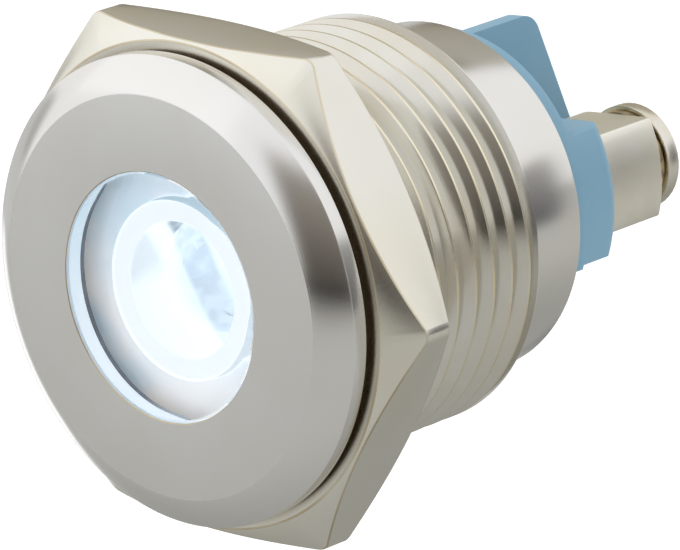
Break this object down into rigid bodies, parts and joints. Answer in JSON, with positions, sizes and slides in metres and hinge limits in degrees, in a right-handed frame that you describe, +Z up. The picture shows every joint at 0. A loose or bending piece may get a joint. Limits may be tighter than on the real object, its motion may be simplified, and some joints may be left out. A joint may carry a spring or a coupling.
{
  "type": "panel pilot light",
  "caption": "Flush round panel pilot light with a threaded metal body, a hex nut and gasket, a clear lens over a lamp, and screw terminals parted by a barrier.",
  "frame": {"origin": "centre of the flange's rear face, the face that meets the panel, on the lamp's axis", "axes": "+Y along the lamp's axis from the front towards the terminals, so the lens faces -Y; +Z up, along the height of the barrier; +X to the right, seen from the front"},
  "size_m": [0.0218, 0.0241, 0.02],
  "materials": {
    "nickel_plated_brass": "satin nickel plate",
    "nickel_plated_nut": "bright nickel plate",
    "black_rubber": "matte",
    "seal_silicone": "matte silicone",
    "clear_lens": "clear, polished",
    "white_holder": "satin white",
    "led_resin": "water-clear resin",
    "tinned_lead": "tinned",
    "board_laminate": "lacquered laminate",
    "resistor_lacquer": "lacquer",
    "diode_resin": "moulded resin",
    "blue_moulding": "satin moulding",
    "nickel_plated_post": "nickel plate",
    "spring_steel": "plated spring steel",
    "nickel_plated_screw": "nickel plate"
  },
  "bodies": {
    "lamp": {"housing": "nickel_plated_brass", "panel_gasket": "black_rubber", "lens_seal": "seal_silicone", "lens": "clear_lens", "led_holder": "white_holder", "led_body": "led_resin", "led_anode_lead": "tinned_lead", "led_cathode_lead": "tinned_lead", "circuit_board": "board_laminate", "series_resistor": "resistor_lacquer", "protection_diode": "diode_resin", "base_oring": "black_rubber", "terminal_base": "blue_moulding", "left_post": "nickel_plated_post", "right_post": "nickel_plated_post"},
    "nut": {"hex_nut": "nickel_plated_nut"},
    "left_washer": {"left_spring_washer": "spring_steel"},
    "right_washer": {"right_spring_washer": "spring_steel"},
    "left_screw_body": {"left_screw": "nickel_plated_screw"},
    "right_screw_body": {"right_screw": "nickel_plated_screw"}
  },
  "joints": [
    {"name": "nut_slide", "type": "slide", "parent": "lamp", "child": "nut", "axis": [0, 1, 0], "range_m": [0, 0.0225]},
    {"name": "left_washer_slide", "type": "slide", "parent": "lamp", "child": "left_washer", "axis": [0, 1, 0], "range_m": [0, 0.0027]},
    {"name": "left_screw_turn", "type": "hinge", "parent": "left_washer", "child": "left_screw_body", "pos_m": [-0.00315, 0.0214, 0], "axis": [0, 1, 0], "range_deg": [0, 2160]},
    {"name": "right_washer_slide", "type": "slide", "parent": "lamp", "child": "right_washer", "axis": [0, 1, 0], "range_m": [0, 0.0027]},
    {"name": "right_screw_turn", "type": "hinge", "parent": "right_washer", "child": "right_screw_body", "pos_m": [0.00315, 0.0214, 0], "axis": [0, 1, 0], "range_deg": [0, 2160]}
  ],
  "couplings": [
    {"joint": "left_screw_turn", "follows": "left_washer_slide", "rad_per_m": 13963},
    {"joint": "right_screw_turn", "follows": "right_washer_slide", "rad_per_m": 13963}
  ]
}
